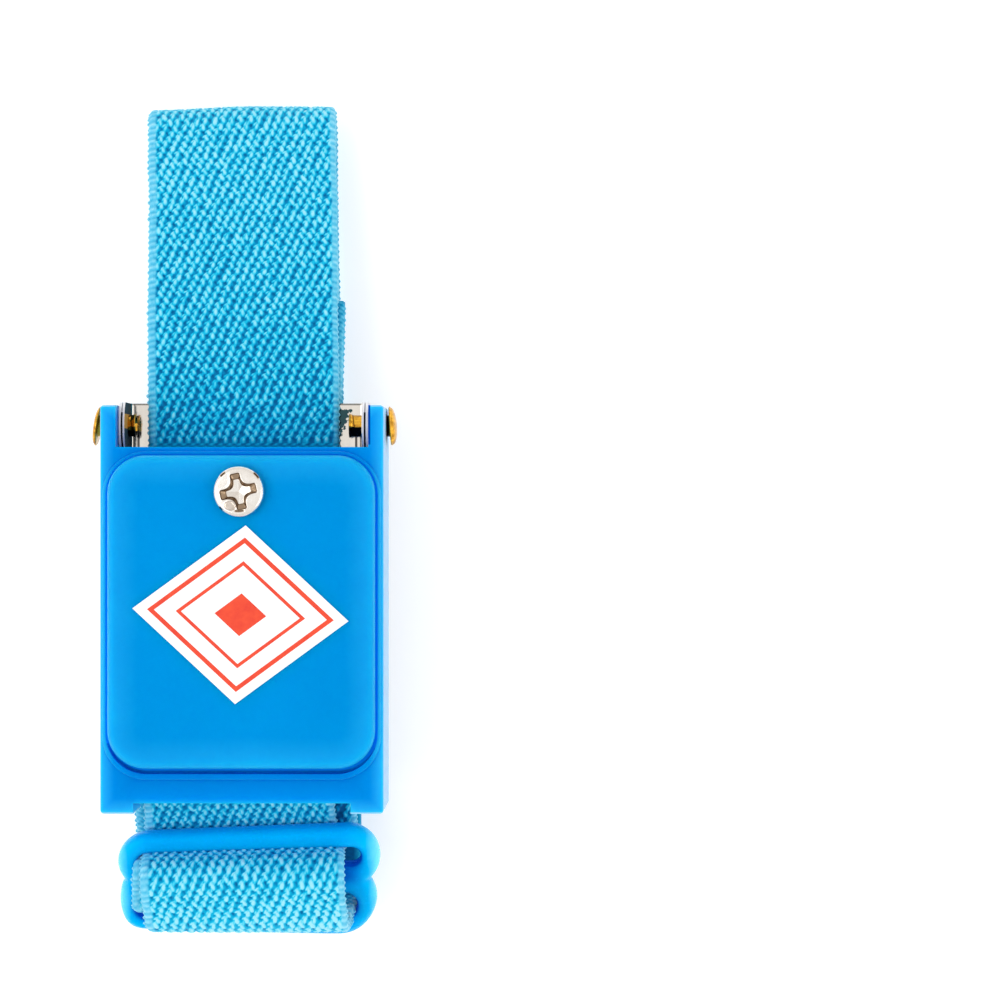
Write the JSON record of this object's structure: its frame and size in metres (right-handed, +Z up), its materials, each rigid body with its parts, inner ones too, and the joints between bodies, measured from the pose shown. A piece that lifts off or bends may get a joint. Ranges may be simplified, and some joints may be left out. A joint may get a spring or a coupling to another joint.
{
  "type": "antistatic wrist strap",
  "caption": "Elastic wrist band with a riveted metal clasp, a hinged flat plastic case with a top screw, and a plastic slider that sets its length.",
  "frame": {"origin": "middle of the footprint, at the height of the surface that the strap lies on", "axes": "+Y along the strap from the slider towards the far fold, +X across the band to the right seen from above, +Z up out of the lid"},
  "size_m": [0.0314, 0.0882, 0.0206],
  "materials": {
    "elastic_band": "knobbly woven elastic, light blue",
    "case_plastic": "satin moulded plastic, blue",
    "slider_plastic": "smooth slightly clear plastic, blue",
    "polished_steel": "polished stainless sheet",
    "nickel_plate": "nickel plate, slightly worn",
    "brass": "bright brass",
    "tinned_metal": "tin plate",
    "spring_bronze": "spring bronze strip",
    "resistor_coat": "tan lacquer",
    "label_film": "white coated film"
  },
  "bodies": {
    "clasp": {"contact_plate": "polished_steel", "strap_clip": "polished_steel", "rivet_left": "brass", "rivet_right": "brass", "band_front_run": "elastic_band", "band_fixed_end": "elastic_band", "band_back_run_fold_side": "elastic_band", "band_back_run_slider_side": "elastic_band", "band_loop_upper_run": "elastic_band", "band_loop_lower_run": "elastic_band", "band_clip_turn": "elastic_band"},
    "case": {"case_shell": "case_plastic", "case_lid": "case_plastic", "lid_screw": "nickel_plate", "screw_nut": "brass", "solder_lug": "tinned_metal", "series_resistor": "resistor_coat", "resistor_lead_lug_side": "tinned_metal", "resistor_lead_leaf_side": "tinned_metal", "contact_leaf": "spring_bronze", "label": "label_film"},
    "slider": {"strap_slider": "slider_plastic", "band_slider_bend": "elastic_band", "band_sewn_loop": "elastic_band"},
    "fold": {"band_top_fold": "elastic_band"}
  },
  "joints": [
    {"name": "case_hinge", "type": "hinge", "parent": "clasp", "child": "case", "pos_m": [0, 0.00965, 0.0119], "axis": [-1, 0, 0], "range_deg": [0, 100]},
    {"name": "strap_adjust", "type": "slide", "parent": "clasp", "child": "slider", "axis": [0, -1, 0], "range_m": [0, 0.01], "deforming": ["band_loop_upper_run", "band_loop_lower_run", "band_back_run_slider_side"]},
    {"name": "strap_stretch", "type": "slide", "parent": "clasp", "child": "fold", "axis": [0, 1, 0], "range_m": [0, 0.04], "stiffness_N_per_m": 40, "deforming": ["band_front_run", "band_back_run_fold_side"]}
  ]
}
